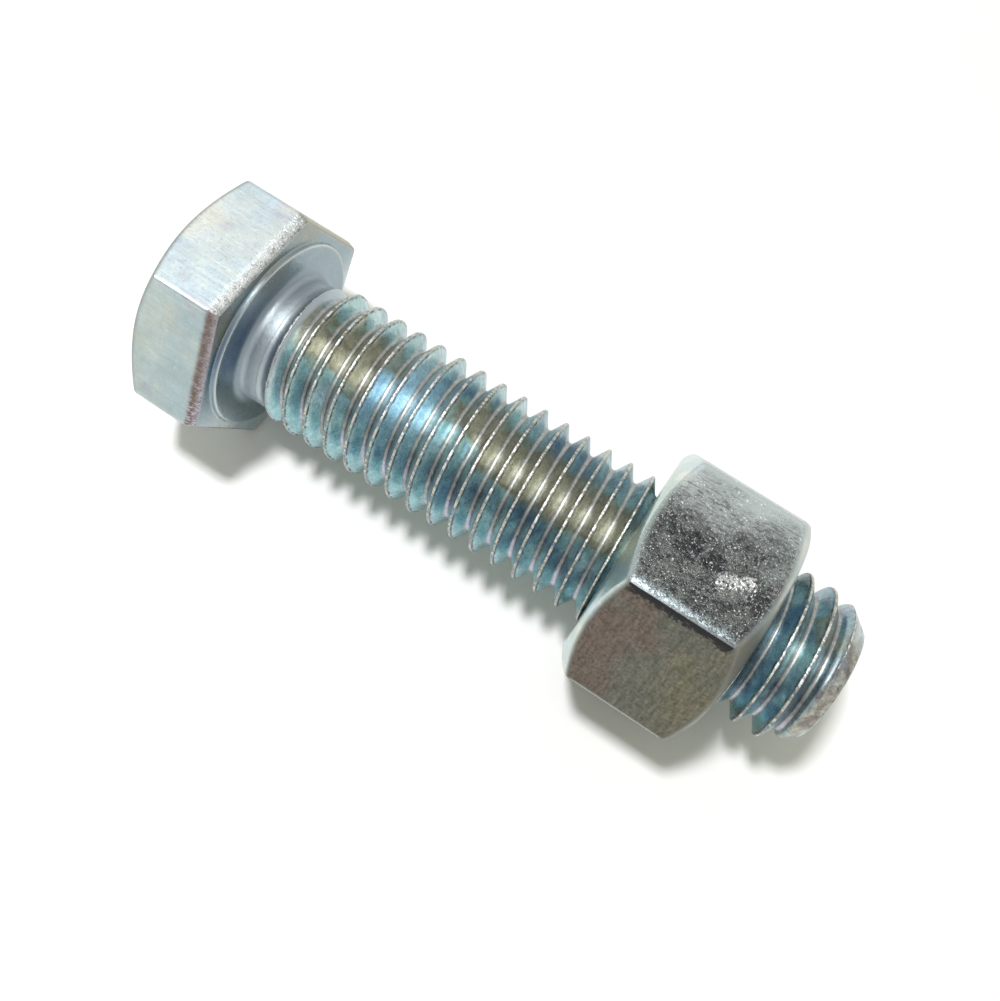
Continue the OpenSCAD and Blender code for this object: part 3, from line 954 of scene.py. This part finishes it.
def floor_finish(hue):
    """White paper with a faint unevenness, which fades to plain white away from the pair."""
    material, n, shader = new_material("white paper")
    tone = n.ease(n.noise(60, 3), 0.3, 0.7, 0.985, 1.0)
    n.link(n.shaded(hue.floor, tone), shader.inputs["Base Color"])
    shader.inputs["Roughness"].default_value = 0.9
    shader.inputs["Specular IOR Level"].default_value = 0.1
    away = n.vector("DISTANCE", n.position, (0.0, 0.0, 0.0), "Value")
    fade = n.ease(away, FADE_START, FADE_END, 0.0, FADE_LEVEL)
    n.link(n.times(fade, seen_rays(n)), shader.inputs["Emission Strength"])
    shader.inputs["Emission Color"].default_value = WHITE
    return material


def tent():
    """A tent with soft boxes, a dark gap and a bright wall, fainter for soft light, white to the camera."""
    world = bpy.data.worlds.new("tent")
    world.use_nodes = True
    n = Nodes(world.node_tree)
    way = n.add("ShaderNodeTexCoord").outputs["Generated"]
    level = TENT_LEVEL
    for centre, inner, outer, extra in TENT_PATCHES:
        near = n.vector("DOT_PRODUCT", way, Vector(centre).normalized(), "Value")
        patch = n.ease(near, math.cos(math.radians(outer)), math.cos(math.radians(inner)))
        level = n.plus(level, n.times(patch, extra))
    seen = seen_rays(n)
    by_camera = n.add("ShaderNodeLightPath").outputs["Is Camera Ray"]
    background = n.tree.nodes["Background"]
    n.link(n.coats(SOFT_COLOUR, (seen, WHITE)), background.inputs["Color"])
    strength = n.plus(SOFT_LEVEL, n.times(seen, n.minus(level, SOFT_LEVEL)))
    n.link(n.most(strength, by_camera), background.inputs["Strength"])
    return world


def aim_camera(view):
    """A camera looking at a point beside the axis, turned round it, raised and rolled."""
    data = bpy.data.cameras.new("camera")
    data.lens = view.lens
    data.clip_start = CLIP_START
    camera = bpy.data.objects.new("camera", data)
    camera.matrix_world = (
        Matrix.Translation((WASHER_FACE_X + view.aim, 0, AXIS_Z)) @ Matrix.Rotation(view.azimuth, 4, "Z")
        @ Matrix.Rotation(math.pi / 2 - view.elevation, 4, "X") @ Matrix.Rotation(view.roll, 4, "Z")
        @ Matrix.Translation((0, -view.drop, view.distance)))
    return camera


class StageSizes(bpy.types.PropertyGroup):
    """Where the camera stands, and the key lamp."""
    azimuth: angle("Azimuth", "Round the object, 0 looks along +Y", 20.43)
    elevation: angle("Elevation", "Above the table", 67.08)
    roll: angle("Roll", "Turn about the line of sight", 13.70)
    distance: length("Distance", "From the point looked at", 76.67)
    aim: length("Aim", "Point looked at, from the washer face along the axis", 21.23)
    drop: length("Drop", "How far the point looked at lies below the axis in the picture", 2.014)
    lens: bpy.props.FloatProperty(
        name="Lens", description="Focal length in millimetres on a 36 mm frame", default=35.04, min=1.0)
    lamp_power: bpy.props.FloatProperty(
        name="Lamp power", description="Power of the key lamp", default=1.36, min=0.0, unit="POWER")
    lamp_size: length("Lamp size", "Width of the key lamp", 50)
    lamp_colour: colour("Lamp colour", "Colour of the key lamp", (0.97, 0.97, 1.0))
    lamp_place: bpy.props.FloatVectorProperty(
        name="Lamp place", description="Middle of the key lamp", default=(-0.085, -0.02, 0.40),
        subtype="XYZ", unit="LENGTH")


class HEXBOLT_OT_bolt(bpy.types.Operator):
    """Makes the bolt and its zinc finish"""
    bl_idname = "hexbolt.bolt"
    bl_label = "Bolt"

    def execute(self, context):
        piece = build_bolt(context.scene.bolt_sizes)
        piece.data.materials.append(bolt_finish(context.scene.bolt_colours))
        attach(piece, "bolt")
        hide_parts("hex_bolt")
        return {"FINISHED"}


class HEXBOLT_OT_nut(bpy.types.Operator):
    """Makes the nut and its duller zinc finish"""
    bl_idname = "hexbolt.nut"
    bl_label = "Nut"

    def execute(self, context):
        piece = build_nut(context.scene.bolt_sizes)
        piece.data.materials.append(nut_finish(context.scene.bolt_colours))
        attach(piece, "nut")
        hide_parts("hex_nut")
        return {"FINISHED"}


class HEXBOLT_OT_stage(bpy.types.Operator):
    """Makes the floor, the light and the camera"""
    bl_idname = "hexbolt.stage"
    bl_label = "Stage"

    def execute(self, context):
        scene, stage = context.scene, context.scene.bolt_stage
        bpy.ops.mesh.primitive_plane_add(size=FLOOR_SIZE)
        floor = context.object
        floor.name = "floor"
        floor.data.materials.append(floor_finish(scene.bolt_colours))
        scene.world = tent()
        lamp = bpy.data.lights.new("key", "AREA")
        lamp.energy = stage.lamp_power
        lamp.size = stage.lamp_size
        lamp.color = stage.lamp_colour
        key = bpy.data.objects.new("key", lamp)
        key.location = stage.lamp_place
        key.rotation_mode = "QUATERNION"
        key.rotation_quaternion = (-key.location).to_track_quat("-Z", "Y")
        key.visible_glossy = False
        camera = aim_camera(stage)
        for thing in (key, camera):
            scene.collection.objects.link(thing)
        scene.camera = camera
        scene.view_settings.view_transform = "Standard"
        return {"FINISHED"}


class HEXBOLT_PT_panel(bpy.types.Panel):
    """Lists the bolt's sizes, colours and operators"""
    bl_idname = "HEXBOLT_PT_panel"
    bl_label = "Hex bolt with nut"
    bl_space_type = "VIEW_3D"
    bl_region_type = "UI"
    bl_category = "Bolt"

    def draw(self, context):
        layout = self.layout
        for operator in OPERATORS:
            layout.operator(operator.bl_idname)
        for group in (getattr(context.scene, name) for name in PROPERTY_GROUPS):
            box = layout.box()
            for name in group.__annotations__:
                box.prop(group, name)


PROPERTY_GROUPS = {"bolt_sizes": BoltSizes, "bolt_colours": BoltColours, "bolt_stage": StageSizes}
OPERATORS = (HEXBOLT_OT_bolt, HEXBOLT_OT_nut, HEXBOLT_OT_stage)
CLASSES = (*PROPERTY_GROUPS.values(), *OPERATORS, HEXBOLT_PT_panel)


def register():
    for cls in CLASSES:
        bpy.utils.register_class(cls)
    for name, group in PROPERTY_GROUPS.items():
        setattr(bpy.types.Scene, name, bpy.props.PointerProperty(type=group))


def unregister():
    for name in PROPERTY_GROUPS:
        delattr(bpy.types.Scene, name)
    for cls in reversed(CLASSES):
        bpy.utils.unregister_class(cls)


def main():
    register()
    bpy.ops.hexbolt.bolt()
    bpy.ops.hexbolt.nut()
    bpy.ops.hexbolt.stage()


if __name__ == "__main__":
    main()
